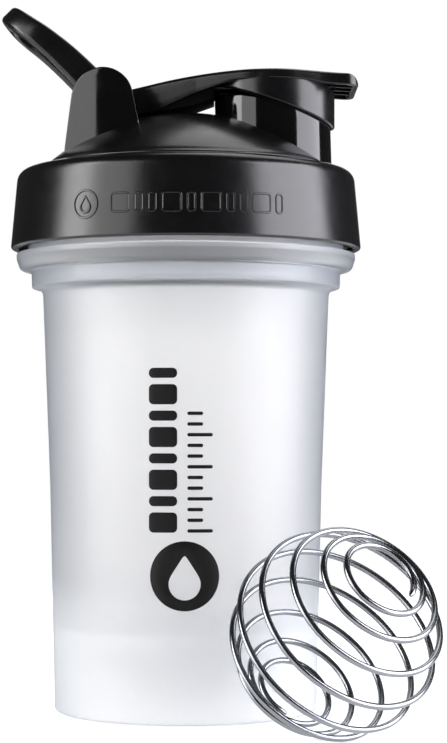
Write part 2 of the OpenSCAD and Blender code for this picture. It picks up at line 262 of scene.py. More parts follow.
def slab(name, body, material, outline, middle, y0, y1, round_r, steps=5):
    """A plate that stands along XZ from y0 up to y1, with rounded edges. Its faces close on the middle."""
    normals = inward_normals(outline)
    rows = []

    def ring(inset, y, scale=1.0):
        row = []
        for p, n in zip(outline, normals):
            q = Vector(p) + n * inset
            q = Vector(middle) + (q - Vector(middle)) * scale
            row.append((q.x, y, q.y))
        rows.append(row)

    for scale in (0.02, 0.35, 0.7, 0.95):
        ring(round_r, y0, scale)
    for k in range(steps + 1):
        a = math.pi / 2 * k / steps
        ring(round_r * (1 - math.sin(a)), y0 + round_r * (1 - math.cos(a)))
    for k in range(steps + 1):
        a = math.pi / 2 * k / steps
        ring(round_r * (1 - math.cos(a)), y1 - round_r * (1 - math.sin(a)))
    for scale in (0.97, 0.9, 0.8, 0.65, 0.5, 0.35, 0.2, 0.02):
        ring(round_r, y1, scale)
    loft(name, body, material, rows)


def sloped_tube(name, body, material, x, profile, steps=160):
    """A closed tube round a vertical axis at x. A profile point is (radius, height), where height is a number
    or a function of x, so that a rim can slope."""
    points = []
    for i in range(steps):
        a = 2 * math.pi * i / steps
        for r, z in profile:
            px = x + r * math.cos(a)
            points.append((px, r * math.sin(a), z(px) if callable(z) else z))
    piece(name, body, material, points, grid_faces(steps, len(profile), loop=True), weld=WELD)


def cut(obj, cutter):
    """Takes the cutter's volume out of the object for good."""
    mod = obj.modifiers.new("cut", "BOOLEAN")
    mod.operation = "DIFFERENCE"
    mod.solver = "EXACT"
    mod.object = cutter
    deps = bpy.context.evaluated_depsgraph_get()
    mesh = bpy.data.meshes.new_from_object(obj.evaluated_get(deps))
    obj.modifiers.clear()
    obj.data = mesh
    bpy.data.objects.remove(cutter)


def cylinder_cutter(x, y, radius, z0, z1, steps=160):
    """A closed upright cylinder, to be used up by cut."""
    points = [(px, py, z) for z in (z0, z1) for px, py in circle(x, y, radius, steps)]
    faces = grid_faces(2, steps) + [tuple(reversed(range(steps))), tuple(range(steps, 2 * steps))]
    mesh = bpy.data.meshes.new("cutter")
    mesh.from_pydata([Vector(p) * MM for p in points], [], faces)
    obj = bpy.data.objects.new("cutter", mesh)
    scene.collection.objects.link(obj)
    return obj


# ---------------------------------------------------------------- materials

FOOT_FADE = (0.022, 0.036)  # heights in metres between which the milky foot gives way to clear plastic
SHADE_TOP = 0.125           # height in metres at the upper end of the clear plastic's ramp of painted shade


class Nodes:
    """Short ways to add the nodes of one material."""

    def __init__(self, name):
        self.material = bpy.data.materials.new(name)
        self.material.use_nodes = True
        self.tree = self.material.node_tree
        self.shader = self.tree.nodes["Principled BSDF"]
        self.where = self.tree.nodes.new("ShaderNodeTexCoord").outputs["Object"]

    def add(self, kind, **values):
        node = self.tree.nodes.new("ShaderNode" + kind)
        for key, value in values.items():
            setattr(node, key, value)
        return node

    def link(self, source, target):
        self.tree.links.new(source, target)

    def noise(self, scale, detail=2.0, rough=0.5, stretch=None, where=None):
        """Noise in millimetres: scale is the size of its grains."""
        node = self.add("TexNoise")
        node.inputs["Scale"].default_value = 1000.0 / scale
        node.inputs["Detail"].default_value = detail
        node.inputs["Roughness"].default_value = rough
        source = where or self.where
        if stretch:
            mapping = self.add("Mapping")
            mapping.inputs["Scale"].default_value = stretch
            self.link(source, mapping.inputs["Vector"])
            source = mapping.outputs["Vector"]
        self.link(source, node.inputs["Vector"])
        return node.outputs["Fac"]

    def spread(self, source, low, high, from_low=0.3, from_high=0.7):
        """Maps a source on to a range of values. Noise lies mostly between 0.3 and 0.7."""
        node = self.add("MapRange")
        ends = {"From Min": from_low, "From Max": from_high, "To Min": low, "To Max": high}
        for key, value in ends.items():
            node.inputs[key].default_value = value
        self.link(source, node.inputs["Value"])
        return node.outputs["Result"]

    def blend_colour(self, source, low, high):
        node = self.add("Mix", data_type="RGBA")
        node.inputs["A"].default_value = (*low, 1)
        node.inputs["B"].default_value = (*high, 1)
        self.link(source, node.inputs["Factor"])
        return node.outputs["Result"]

    def ramp(self, source, stops):
        """Colours along the source, as (place, colour) from 0 to 1."""
        node = self.add("ValToRGB")
        while len(node.color_ramp.elements) < len(stops):
            node.color_ramp.elements.new(0.5)
        for element, (place, colour) in zip(node.color_ramp.elements, stops):
            element.position = place
            element.color = (*colour, 1)
        self.link(source, node.inputs["Fac"])
        return node.outputs["Color"]

    def bump(self, source, height, strength):
        """Bump of that height in millimetres."""
        node = self.add("Bump")
        node.inputs["Strength"].default_value = strength
        node.inputs["Distance"].default_value = height * MM
        self.link(source, node.inputs["Height"])
        return node.outputs["Normal"]

    def set(self, **values):
        """Constants on the shader's sockets, with _ for a blank in their names."""
        for key, value in values.items():
            self.shader.inputs[key.replace("_", " ")].default_value = value

    def feed(self, socket, source):
        self.link(source, self.shader.inputs[socket])


def satin_black():
    """Fine-grained moulded plastic."""
    m = Nodes("satin_black")
    grain = m.noise(0.5, 3.0, 0.6)
    broad = m.noise(18, 2.0)
    m.feed("Base Color", m.blend_colour(broad, (0.0018, 0.0018, 0.0020), (0.0032, 0.0032, 0.0036)))
    m.feed("Roughness", m.spread(m.noise(4, 4.0, 0.6), 0.21, 0.27))
    m.feed("Normal", m.bump(grain, 0.05, 0.40))
    return m.material


def matt_black_painted_shade():
    """Inner faces of the mouldings, which are left rougher than the outside, with weakened reflections as
    painted shade: a darker copy of the satin black for the core under the cap's arm.
    """
    m = Nodes("matt_black_painted_shade")
    grain = m.noise(0.4, 3.0, 0.6)
    m.feed("Base Color", m.blend_colour(m.noise(12, 2.0), (0.002, 0.002, 0.0022), (0.004, 0.004, 0.0044)))
    m.feed("Roughness", m.spread(grain, 0.60, 0.80))
    # weak reflections here are painted shade
    m.set(Specular_IOR_Level=0.12)
    m.feed("Normal", m.bump(grain, 0.04, 0.4))
    return m.material


def gloss_black():
    """Polished moulded plastic with faint smears and scratches."""
    m = Nodes("gloss_black")
    smear = m.noise(9, 4.0, 0.6)
    scratch = m.noise(1.2, 3.0, 0.7, stretch=(1, 0.08, 1))
    m.feed("Base Color", m.blend_colour(smear, (0.0015, 0.0015, 0.0017), (0.0028, 0.0028, 0.0030)))
    m.feed("Roughness", m.spread(smear, 0.05, 0.11))
    m.feed("Normal", m.bump(scratch, 0.004, 0.2))
    return m.material


def clear_plastic():
    """Frosted plastic: bluer where it is seen edge-on, with painted shade along its height, and milky at the
    foot.
    """
    m = Nodes("clear_plastic")
    flow = m.noise(26, 2.0, 0.4, stretch=(1, 1, 0.35))
    haze = m.noise(6, 3.0)
    split = m.add("SeparateXYZ")
    m.link(m.where, split.inputs[0])
    foot = m.spread(split.outputs["Z"], 1.0, 0.0, *FOOT_FADE)
    edge = m.add("LayerWeight")
    edge.inputs["Blend"].default_value = 0.5
    tint = m.ramp(edge.outputs["Facing"], [
        (0.20, (0.90, 0.90, 0.905)), (0.40, (0.855, 0.865, 0.88)), (0.56, (0.73, 0.755, 0.785)),
        (0.76, (0.57, 0.605, 0.655)), (1.0, (0.41, 0.46, 0.53))])
    # painted shade along the height, multiplied into the colour: lighter at the foot, a little darker up the
    # body, and darkest in a bluish band just under the bead and the lid
    painted_shade = m.ramp(m.spread(split.outputs["Z"], 0.0, 1.0, 0.0, SHADE_TOP), [
        (0.176, (1, 1, 1)), (0.288, (0.90, 0.90, 0.90)), (0.84, (0.92, 0.92, 0.92)),
        (0.90, (0.98, 0.98, 0.98)), (0.948, (0.78, 0.81, 0.86)), (0.958, (0.98, 0.99, 1))])
    both = m.add("Mix", data_type="RGBA", blend_type="MULTIPLY")
    both.inputs["Factor"].default_value = 1.0
    milky = m.add("Mix", data_type="RGBA")
    m.link(m.spread(foot, 0.0, 0.42, 0, 1), milky.inputs["Factor"])
    m.link(tint, milky.inputs["A"])
    milky.inputs["B"].default_value = (0.92, 0.93, 0.945, 1)
    m.link(milky.outputs["Result"], both.inputs["A"])
    m.link(painted_shade, both.inputs["B"])
    m.feed("Base Color", both.outputs["Result"])
    rough = m.add("Math", operation="ADD")
    m.link(m.spread(haze, 0.38, 0.44), rough.inputs[0])
    m.link(m.spread(foot, 0.0, 0.10, 0, 1), rough.inputs[1])
    m.feed("Roughness", rough.outputs[0])
    m.feed("Transmission Weight", m.spread(foot, 0.93, 0.66, 0, 1))
    m.feed("Normal", m.bump(flow, 0.10, 0.25))
    m.set(IOR=1.46)
    return m.material


def black_ink():
    """Dull printed ink, a little mottled."""
    m = Nodes("black_ink")
    mottle = m.noise(1.5, 4.0, 0.6)
    m.feed("Base Color", m.blend_colour(mottle, (0.002, 0.002, 0.002), (0.005, 0.005, 0.005)))
    m.feed("Roughness", m.spread(mottle, 0.40, 0.55))
    m.set(Specular_IOR_Level=0.2)
    m.feed("Normal", m.bump(m.noise(0.3, 2.0), 0.01, 0.4))
    return m.material


def soft_rubber():
    """Grey rubber of the seal and the plug."""
    m = Nodes("soft_rubber")
    dust = m.noise(3, 4.0, 0.6)
    m.feed("Base Color", m.blend_colour(dust, (0.235, 0.24, 0.25), (0.265, 0.27, 0.28)))
    m.feed("Roughness", m.spread(dust, 0.55, 0.75))
    m.feed("Normal", m.bump(m.noise(0.8, 3.0), 0.012, 0.2))
    return m.material


def turned_steel():
    """Steel of the hinge pin, with fine rings from turning along its Y axis."""
    m = Nodes("turned_steel")
    rings = m.noise(0.5, 3.0, 0.6, stretch=(0.05, 1, 0.05))
    m.feed("Base Color", m.blend_colour(rings, (0.42, 0.43, 0.44), (0.58, 0.58, 0.59)))
    m.feed("Roughness", m.spread(rings, 0.22, 0.38))
    m.set(Metallic=1.0)
    m.feed("Normal", m.bump(rings, 0.01, 0.4))
    return m.material


def polished_wire():
    """Drawn wire, with streaks that run along it by its UV map."""
    m = Nodes("polished_wire")
    streaks = m.noise(1000, 4.0, 0.6, where=m.add("UVMap", uv_map="along").outputs["UV"])
    cloud = m.noise(7, 3.0)
    m.feed("Base Color", m.blend_colour(cloud, (0.22, 0.23, 0.245), (0.30, 0.31, 0.325)))
    m.feed("Roughness", m.spread(streaks, 0.10, 0.22))
    m.set(Metallic=1.0)
    m.feed("Normal", m.bump(streaks, 0.012, 0.35))
    return m.material


def pale_floor():
    """A white floor that glows a little, so that it stays pale."""
    m = Nodes("pale_floor")
    speck = m.noise(30, 3.0)
    m.feed("Base Color", m.blend_colour(speck, (0.88, 0.88, 0.88), (0.90, 0.90, 0.90)))
    m.feed("Roughness", m.spread(speck, 0.5, 0.6))
    m.set(Emission_Color=(1, 1, 1, 1), Emission_Strength=0.4)
    return m.material


SATIN, GLOSS, MATT_PAINTED_SHADE, CLEAR, INK = satin_black(), gloss_black(), matt_black_painted_shade(), clear_plastic(), black_ink()
RUBBER, TURNED, WIRE = soft_rubber(), turned_steel(), polished_wire()

# ---------------------------------------------------------------- bottle

FOOT_R, GRIP_R, GRIP_Z, SHOULDER_R, SHOULDER_Z = 35.7, 37.1, 61.0, 39.2, 114.3
WALL = 1.3
TURN_STEPS = 256  # sides of the large turned pieces
STEP_R, STEP_Z, BEAD_R, BEAD_Z, BEAD_TOP = 42.2, 114.5, 46.4, 119.4, 124.3
NECK_R, NECK_IN_R, RIM_Z = 43.2, 41.2, 142.5
BOWL_R, BOWL_Z, FLOOR_Z, BOWL_T = 33.9, 31.0, 5.5, 1.5


def make_bottle():
    """The cup as one turned outline: outside up, inside down, the bowl, and the hollow foot under it."""
    outside = fillet([
        (FOOT_R - 2.4, 0, 0.4), (FOOT_R, 0, 1.5), (GRIP_R, GRIP_Z, 60), (SHOULDER_R, SHOULDER_Z, 2.6),
        (STEP_R, STEP_Z + 0.5, 0.5), (STEP_R + 0.1, BEAD_Z + 0.2, 0.6), (BEAD_R - 1.0, BEAD_Z + 0.4, 1.4),
        (BEAD_R, BEAD_Z + 3.4, 1.6), (BEAD_R, BEAD_TOP, 0.4), (NECK_R, BEAD_TOP, 0.4), (NECK_R, RIM_Z, 0.6),
        (NECK_IN_R, RIM_Z, 0.6), (NECK_IN_R, BEAD_Z + 1, 1.5), (STEP_R - WALL, STEP_Z + 1.9, 0.8),
        (SHOULDER_R - WALL, SHOULDER_Z + 1.3, 1.4), (GRIP_R - WALL, GRIP_Z, 60), (BOWL_R, BOWL_Z + 1, 8),
    ], closed=False)
    inside = oval(BOWL_R, BOWL_Z - FLOOR_Z, BOWL_Z, 2, 90, 30)
    under = oval(BOWL_R + WALL, BOWL_Z - FLOOR_Z + BOWL_T, BOWL_Z, 90, 17, 26)
    skirt = [(FOOT_R - WALL + 0.1, 21.5), (FOOT_R - WALL - 0.3, 2.5)]
    obj = lathe("bottle", "bottle", CLEAR, outside + inside + under + skirt, TURN_STEPS)
    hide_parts("bottle_body")


# ---------------------------------------------------------------- screw threads

THREAD_PITCH, THREAD_TURNS, THREAD_H, THREAD_ROOT, THREAD_Z = 6.0, 1.25, 1.35, 0.3, 130.0


def thread(name, body, material, root, crest, z0):
    """A screw ridge that climbs from z0 and runs out at both ends. Its section is (share of height, z)."""
    steps, run_out = 150, 16
    section = [(0, -1.3), (0.75, -0.72), (1, -0.5), (1, 0.5), (0.75, 0.72), (0, 1.3)]
    rows = []
    for i in range(steps + 1):
        t = i / steps * THREAD_TURNS
        fade = min(1, (i + 0.5) / run_out, (steps - i + 0.5) / run_out)
        fade = fade * fade * (3 - 2 * fade)
        row = []
        for h, w in section:
            r = root + (crest - root) * fade * h
            row.append((r * math.cos(2 * math.pi * t), r * math.sin(2 * math.pi * t),
                        z0 + THREAD_PITCH * t + w * (0.35 + 0.65 * fade)))
        rows.append(row)
    loft(name, body, material, rows, sharp=50)


# ---------------------------------------------------------------- lid

LID_R, LID_Z, LID_TOP_R, LID_TOP_Z, LID_IN_R, MOUTH_R = 48.0, 125.5, 46.1, 146.2, 44.9, 45.9
LEDGE_R, LEDGE_Z, CEILING_Z = 41.2, 148.6, 144.2
DOME_R, DOME_TOP, DOME_FOOT, DOME_T = 58.0, 163.0, 38.3, 1.8
LIP_R, LIP_Z, LIP_T = 39.4, 141.2, 1.2
HINGE_X, HINGE_Z, PIN_R = -22.2, 164.8, 2.0
EAR_IN, EAR_OUT, EAR_R = 14.0, 19.8, 8.45
EAR_FACE_R, EAR_FACE_X = 41.0, -13.4
SPOUT_X, SPOUT_R, SPOUT_WALL, SPOUT_FLARE = 23.8, 15.9, 1.6, 0.45
RIM_SLOPE, SPOUT_FOOT_Z, SPOUT_BACK_Z, DECK_DOWN, DECK_T, DRINK_R = 11.0, 146.5, 168.2, 3.2, 1.8, 9.5


def dome_z(x, y):
    """Height of the lid's domed top."""
    return DOME_TOP - DOME_R + math.sqrt(DOME_R * DOME_R - x * x - y * y)


def make_lid():
    """The turned shell of the lid, with a hole where the spout stands."""
    centre = DOME_TOP - DOME_R
    foot_angle = math.degrees(math.acos(DOME_FOOT / DOME_R))
    in_r = DOME_R - DOME_T
    in_angle = math.degrees(math.acos((DOME_FOOT - 2.4) / in_r))
    skirt = fillet([
        (MOUTH_R, LID_Z, 0.3), (LID_R, LID_Z, 0.7), (LID_TOP_R, LID_TOP_Z + 0.3, 5.2),
        (LEDGE_R, LEDGE_Z - 0.9, 1.2), (DOME_FOOT + 0.5, LEDGE_Z - 1.3, 0.1),
        (DOME_FOOT + 0.35, LEDGE_Z - 0.3, 0.25), (DOME_FOOT - 0.2, LEDGE_Z - 0.05),
    ], closed=False, steps=10)
    dome = arc(0, centre, DOME_R, foot_angle, 90, 48)[1:]
    inner_dome = arc(0, centre, in_r, 90, in_angle, 40)
    inside = fillet([
        inner_dome[-1], (DOME_FOOT - 2, LEDGE_Z - 2.2, 1), (LIP_R - LIP_T, CEILING_Z - 1, 0.6),
        (LIP_R - LIP_T, LIP_Z, 0.4), (LIP_R, LIP_Z, 0.4), (LIP_R, CEILING_Z, 0.3), (LID_IN_R, CEILING_Z, 1.0),
        (LID_IN_R, LID_Z + 4, 0.5), (MOUTH_R, LID_Z + 3, 0.5), (MOUTH_R, LID_Z, 0),
    ], closed=False)
    profile = skirt + dome + inner_dome[:-1] + inside[:-1]
    shell = lathe("lid_shell_skin", "lid", SATIN, profile, TURN_STEPS)
    cut(shell, cylinder_cutter(SPOUT_X, 0, SPOUT_R - SPOUT_WALL / 2, LIP_Z - 1.2, DOME_TOP + 12))
    smooth(shell)
    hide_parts("lid_shell")


def make_ears():
    """Two plates that carry the hinge pin. They stand on the dome and reach a little into it."""
    foot = (HINGE_X - EAR_R - 2.1, 149.2)
    top = arc(HINGE_X, HINGE_Z, EAR_R, 175, 5, 40)
    right = [(-12.75, 160.5), (-12.1, 157.9)]
    bottom = [(x, dome_z(x, ear_face(x)) - 0.6) for x in (-15, -19, -23, -27, -31)]
    outline = resample([Vector(p) for p in [foot] + top + right + bottom + [foot]], 0.5)[:-1]
    for side, name in ((-1, "ear_front"), (1, "ear_back")):
        ear(name, [tuple(p) for p in outline], side)


def ear_face(x):
    """Distance of the ear's outer face from the middle. Seen from above it is an arc."""
    return EAR_OUT - EAR_FACE_R + math.sqrt(EAR_FACE_R ** 2 - (x - EAR_FACE_X) ** 2)


def ear(name, outline, side):
    """A plate with rounded edges and an arched face. Its rows run along x, closest together at both ends."""
    low, high = min(p[0] for p in outline), max(p[0] for p in outline)
    columns, r, inner = 70, 0.55, EAR_IN + 0.02

    def span(x):
        """Lowest and highest point of the outline at x."""
        hits = []
        for (x0, z0), (x1, z1) in zip(outline, outline[1:] + outline[:1]):
            if (x0 - x) * (x1 - x) <= 0 and x0 != x1:
                hits.append(z0 + (z1 - z0) * (x - x0) / (x1 - x0))
        return min(hits), max(hits)

    rows = []
    for i in range(columns + 1):
        x = low + (high - low) * (0.5 - 0.5 * math.cos(math.pi * i / columns))
        x = min(max(x, low + 0.01), high - 0.01)
        z0, z1 = span(x)
        to_end = min(x - low, high - x)
        fade = min(1, math.sqrt(max(0, 1 - (1 - min(1, to_end / r)) ** 2)) + 0.02)
        face = ear_face(x) - r * (1 - fade)
        row = [(inner, z0)] + [(inner, z0 + (z1 - z0) * k / 6) for k in range(1, 7)]
        row += [(face - r + r * math.sin(a), z1 - r + r * math.cos(a)) for a in
                [math.pi / 2 * k / 6 for k in range(7)]]
        row += [(face, z1 - r - (z1 - r - z0) * k / 12) for k in range(1, 13)]
        rows.append([(x, side * y, z) for y, z in row])
    loft(name, "lid", GLOSS, rows, sharp=50)


def spout_rim(x):
    """Height of the spout's rim, which slopes down towards the front."""
    return SPOUT_BACK_Z - (x - SPOUT_X + SPOUT_R) * math.tan(math.radians(RIM_SLOPE))


def above(surface, points):
    """Turns the heights of an outline into heights above a sloping surface."""
    return [(r, lambda x, z=z: surface(x) + z) for r, z in points]


def make_spout():
    """The spout with its sunk deck, in which the drinking hole is."""
    outer, inner = SPOUT_R, SPOUT_R - SPOUT_WALL
    rim_r, deck_r, hole_r = 0.7, 0.6, 0.4
    deck = -DECK_DOWN / math.cos(math.radians(RIM_SLOPE))
    flare = ((1, SPOUT_FOOT_Z), (0.6, 152), (0.35, 156), (0.1, 160))
    profile = [(outer + SPOUT_FLARE * part, z) for part, z in flare]
    profile += above(spout_rim, arc(outer - rim_r, -rim_r, rim_r, 0, 90, 5)
                     + arc(inner + rim_r, -rim_r, rim_r, 90, 180, 5)
                     + arc(inner - deck_r, deck + deck_r, deck_r, 0, -90, 4)
                     + arc(DRINK_R + hole_r, deck - hole_r, hole_r, 90, 180, 4)
                     + arc(DRINK_R + hole_r, deck - DECK_T + hole_r, hole_r, 180, 270, 4)
                     + arc(inner - deck_r, deck - DECK_T - deck_r, deck_r, 90, 0, 4))
    profile += [(inner, 149), (inner, SPOUT_FOOT_Z)]
    sloped_tube("spout", "lid", GLOSS, SPOUT_X, profile)


# ---------------------------------------------------------------- flip cap

ARCH_X, ARCH_Z, ARCH_BACK_R, ARCH_FRONT_R, ARCH_CROWN = 21.5, 173.38, 150.0, 300.0, 0.16
COVER_IN, COVER_OUT, COVER_SLOPE, COVER_Z = 16.2, 17.1, 18.7, 164.5
TAB_X, TAB_HALF, TAB_ROUND, TAB_Z, TAB_EDGE, NOSE_R = 46.8, 13.8, 3.5, 169.2, 3.3, 3.0
ARM_HALF, NECK_HALF, NECK_X, ARM_X = 12.0, 8.4, -10.6, 3.0
CAP_T, CAP_EDGE, CAP_SIDE = 1.9, 2.8, 1.6
CAP_BACK_X, TOP_R, EDGE_R = -19, 1.25, 0.35
CORE_BOTTOM = [(CAP_BACK_X, 161.6), (-12, 162.4, 3), (-5, 163.2, 5), (1.5, 164.2, 2), (7.7, 166.4, 0.4)]
BOSS_R, BOSS_LOW, BOSS_TOP = 6, 0.6, 9.4
KNUCKLE_R = 5.2


def arch(x):
    """Height of the long arch of the cap's top."""
    r = ARCH_BACK_R if x < ARCH_X else ARCH_FRONT_R
    return ARCH_Z - r + math.sqrt(r * r - (x - ARCH_X) ** 2)


def cap_top(x, y):
    """Height of the cap's top: the arch, a slight crown across it, and the round nose of the tab."""
    run = max(0.0, NOSE_R - (TAB_X - x))
    nose = NOSE_R - math.sqrt(max(0.0, NOSE_R ** 2 - min(run, NOSE_R) ** 2))
    return arch(x) - ARCH_CROWN * (y / COVER_OUT) ** 2 - nose * 0.92


def cap_bottom(x):
    """Height of the lower edge of the cap's side wall."""
    points = [(-40, 161.4), (CAP_BACK_X, 161.4), (-9, 162.4), (2, 167), (13, arch(13) - CAP_EDGE)]
    for (x0, z0), (x1, z1) in zip(points, points[1:]):
        if x <= x1:
            return z0 + (z1 - z0) * (x - x0) / (x1 - x0)
    to_tab = min(1, max(0, (x - 32) / 7))
    edge = CAP_EDGE + (TAB_EDGE - CAP_EDGE) * to_tab * to_tab * (3 - 2 * to_tab)
    return max(arch(x) - edge, TAB_Z - 0.1)


def cap_outline():
    """Plan of the cap: neck, arm, cover and thumb tab, as evenly spaced points that run round it."""
    half = fillet([
        (CAP_BACK_X, 0), (CAP_BACK_X, NECK_HALF, 0.5), (NECK_X, NECK_HALF, 14), (ARM_X, ARM_HALF, 20),
        (SPOUT_X - 6.5, 16.2, 30), (SPOUT_X + 2, COVER_OUT + 0.5, 40), (SPOUT_X + 9.5, 15.4, 30),
        (38.5, TAB_HALF, 20), (TAB_X, TAB_HALF - 0.2, TAB_ROUND), (TAB_X, 0),
    ], closed=False, steps=10)
    even = resample([Vector(p) for p in half], 0.45)
    return [tuple(p) for p in even] + [(p.x, -p.y) for p in reversed(even[1:-1])]


def make_cap_skin():
    """The cap's shell, as rings from the middle of its top, over the edge, to the middle of its ceiling."""
    outline = cap_outline()
    normals = inward_normals(outline)
    rows = []

    def ring(inset, height, across=1.0):
        """The outline moved inwards and drawn in across. Height is a function of x, y and the old x."""
        row = []
        for (x, y), n in zip(outline, normals):
            px, py = x + n.x * inset, (y + n.y * inset) * across
            if abs(y) < 1e-6:
                py = 0.0
            row.append((px, py, height(px, py, x)))
        rows.append(row)

    def edge_r(x):
        """Radius along the top edge, which fades out where the nose itself is round."""
        return TOP_R - min(1, max(0, (x - 40) / 4))

    def ceiling(down):
        """The ceiling's height, this far below its usual place, as a function for ring."""
        return lambda x, y, x0: max(cap_bottom(x0) + 0.3, cap_top(x, y) - CAP_T - down)

    for across in (0.0, 0.12, 0.25, 0.4, 0.55, 0.7, 0.82, 0.92):
        ring(TOP_R + 0.05, lambda x, y, x0: cap_top(x, y), across)
    for k in range(8):
        a = math.pi / 2 * k / 7
        ring(TOP_R * (1 - math.sin(a)), lambda x, y, x0: cap_top(x, y) - edge_r(x0) * (1 - math.cos(a)))
    for part in (0.35, 0.7):
        ring(0, lambda x, y, x0: (cap_top(x, y) - edge_r(x0)) * (1 - part) + (cap_bottom(x0) + EDGE_R) * part)
    for k in range(5):
        a = math.pi / 2 * k / 4
        ring(EDGE_R * (1 - math.cos(a)), lambda x, y, x0: cap_bottom(x0) + EDGE_R * (1 - math.sin(a)))
    ring(CAP_SIDE - 0.25, lambda x, y, x0: cap_bottom(x0))
    ring(CAP_SIDE, lambda x, y, x0: cap_bottom(x0) + 0.25)
    ring(CAP_SIDE, ceiling(0.6))
    for across in (1.0, 0.8, 0.55, 0.3, 0.0):
        ring(CAP_SIDE + 0.6, ceiling(0), across)
    points = [p for row in rows for p in row]
    skin = piece("flip_cap_skin", "cap", SATIN, points,
                 grid_faces(len(rows), len(rows[0])), 40, 0.004)
    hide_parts("flip_cap")


def make_cap_cover():
    """The round wall under the cap that shuts over the spout."""
    def edge(x):
        """Height of the wall's lower edge, which slopes with the spout."""
        return COVER_Z - (x - SPOUT_X) * math.tan(math.radians(COVER_SLOPE))

    profile = above(arch, [(COVER_IN, -1.4), (COVER_OUT - 0.02, -1.4)])
    profile += above(edge, arc(COVER_OUT - 0.82, 0.8, 0.8, 0, -90, 7))
    profile += [(COVER_IN, edge)]
    sloped_tube("cap_cover", "cap", SATIN, SPOUT_X, profile)


def make_cap_inside():
    """The core of the arm, the ribs under the thumb tab, the knuckle, and the boss that holds the plug."""
    core = fillet(CORE_BOTTOM + [(x, arch(x) - 1) for x in (7.7, -5, -12, CAP_BACK_X)])
    half = NECK_HALF - 0.1
    # the arm's core takes the rough black with painted shade, to look as dark as the shadow under the arm
    slab("cap_arm_core", "cap", MATT_PAINTED_SHADE, core, (-8, 166), -half, half, 0.4)
    rib = fillet([(37, 169.9, 0.2), (45.3, TAB_Z + 0.15, 0.2), (45.3, 171), (37, 172)])
    for y, name in ((-6, "tab_rib_front"), (0, "tab_rib_middle"), (6, "tab_rib_back")):
        slab(name, "cap", SATIN, rib, (41, 170.8), y - 0.4, y + 0.4, 0.15)
    knuckle("cap_knuckle", "cap", 0, NECK_HALF)

    boss = [(0.01, BOSS_LOW), (BOSS_R, BOSS_LOW), (BOSS_R, BOSS_TOP), (0.01, BOSS_TOP)]
    obj = lathe("cap_boss", "cap", SATIN, boss, 48)
    deck = spout_rim(SPOUT_X) - DECK_DOWN / math.cos(math.radians(RIM_SLOPE))
    tilt = Matrix.Rotation(math.radians(RIM_SLOPE), 4, "Y")
    obj.data.transform(Matrix.Translation(Vector((SPOUT_X, 0, deck)) * MM) @ tilt)


def knuckle(name, body, middle, half):
    """Barrel on the hinge pin, with rounded ends and a running bore."""
    bore = PIN_R + 0.06
    profile = fillet([
        (bore, middle - half, 0.3), (KNUCKLE_R, middle - half, 0.6),
        (KNUCKLE_R, middle + half, 0.6), (bore, middle + half, 0.3),
    ])
    cross_lathe(name, body, SATIN, profile, HINGE_X, HINGE_Z)


# ---------------------------------------------------------------- carry loop

LOOP_LEN, LOOP_W, LOOP_ANGLE, LOOP_START, LOOP_BAR = 37.55, 27.4, 135.0, 2.0, 4.7
LOOP_FOOT_IN = 8.9
# The loop's two faces: distance from the pin along the loop, and height off its middle plane.
LOOP_OUTER = [
    (0, -5.15), (9, -5.15), (14, -5.0), (18, -4.7), (22, -4.2),
    (26, -3.6), (30, -2.9), (34.5, -2.3), (40, -1.9)]
LOOP_INNER = [(0, 3.2), (9, 2.3), (14, 2.15), (20, 2.2), (25, 2.5), (30, 3.1), (34, 3.45), (40, 3.3)]


def smooth_read(points, x):
    """A smooth curve through points, read at x between the first and the last of them."""
    i = next(i for i, (x1, _) in enumerate(points[1:]) if x <= x1)
    (x0, y0), (x1, y1) = points[i], points[i + 1]
    before, after = points[max(0, i - 1)], points[min(len(points) - 1, i + 2)]
    m0 = (y1 - before[1]) / (x1 - before[0]) * (x1 - x0)
    m1 = (after[1] - y0) / (after[0] - x0) * (x1 - x0)
    t = (x - x0) / (x1 - x0)
    return ((2 * t ** 3 - 3 * t * t + 1) * y0 + (t ** 3 - 2 * t * t + t) * m0
            + (3 * t * t - 2 * t ** 3) * y1 + (t ** 3 - t * t) * m1)


def rounded_box(x0, x1, z0, z1, r):
    """Outline of a bar's section."""
    return fillet([(x0, z0, r), (x1, z0, r), (x1, z1, r), (x0, z1, r)], steps=4)


def make_carry_loop():
    """A bar bent into a U, straight from the pin and round at its end, and a knuckle at each foot."""
    half = LOOP_W / 2
    end_x = LOOP_LEN - half
    straight = [LOOP_START + (end_x - LOOP_START) * i / 20 for i in range(20)]
    path = [(x, Vector((0, -1))) for x in straight]
    path += [(end_x, Vector(p)) for p in arc(0, 0, 1, -90, 90, 48)]
    path += [(x, Vector((0, 1))) for x in reversed(straight)]
    turn = math.radians(LOOP_ANGLE)
    rows = []
    for x, out in path:
        outer = Vector((x, 0)) + out * half
        thick = LOOP_BAR + 0.3 * max(0.0, out.x)
        low, high = smooth_read(LOOP_OUTER, outer.x), smooth_read(LOOP_INNER, outer.x)
        row = []
        for d, z in rounded_box(-thick, 0, low, high, 1.15):
            p = outer + out * d
            row.append((HINGE_X + p.x * math.cos(turn) - z * math.sin(turn), p.y,
                        HINGE_Z + p.x * math.sin(turn) + z * math.cos(turn)))
        rows.append(row)
    ring = loft("carry_loop_ring", "loop", SATIN, rows)
    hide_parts("carry_loop")
    foot = (half + LOOP_FOOT_IN) / 2
    for side, name in ((-1, "loop_foot_front"), (1, "loop_foot_back")):
        knuckle(name, "loop", side * foot, half - foot)


# ---------------------------------------------------------------- whisk ball

BALL_POS, BALL_D, WIRE_D = (37.9, -61.0, 26.2), 52.4, 1.6
BALL_TILT, BALL_SPIN, BALL_TURNS = (0, 49.5, -55), 180, 8
MID_STEP, STEP_FADE, TAIL_TURNS, TAIL_STEP = 22, 0.29, 0.4, 4  # steps are degrees towards a pole per turn
UV_ALONG, UV_AROUND = 0.06, 2.5


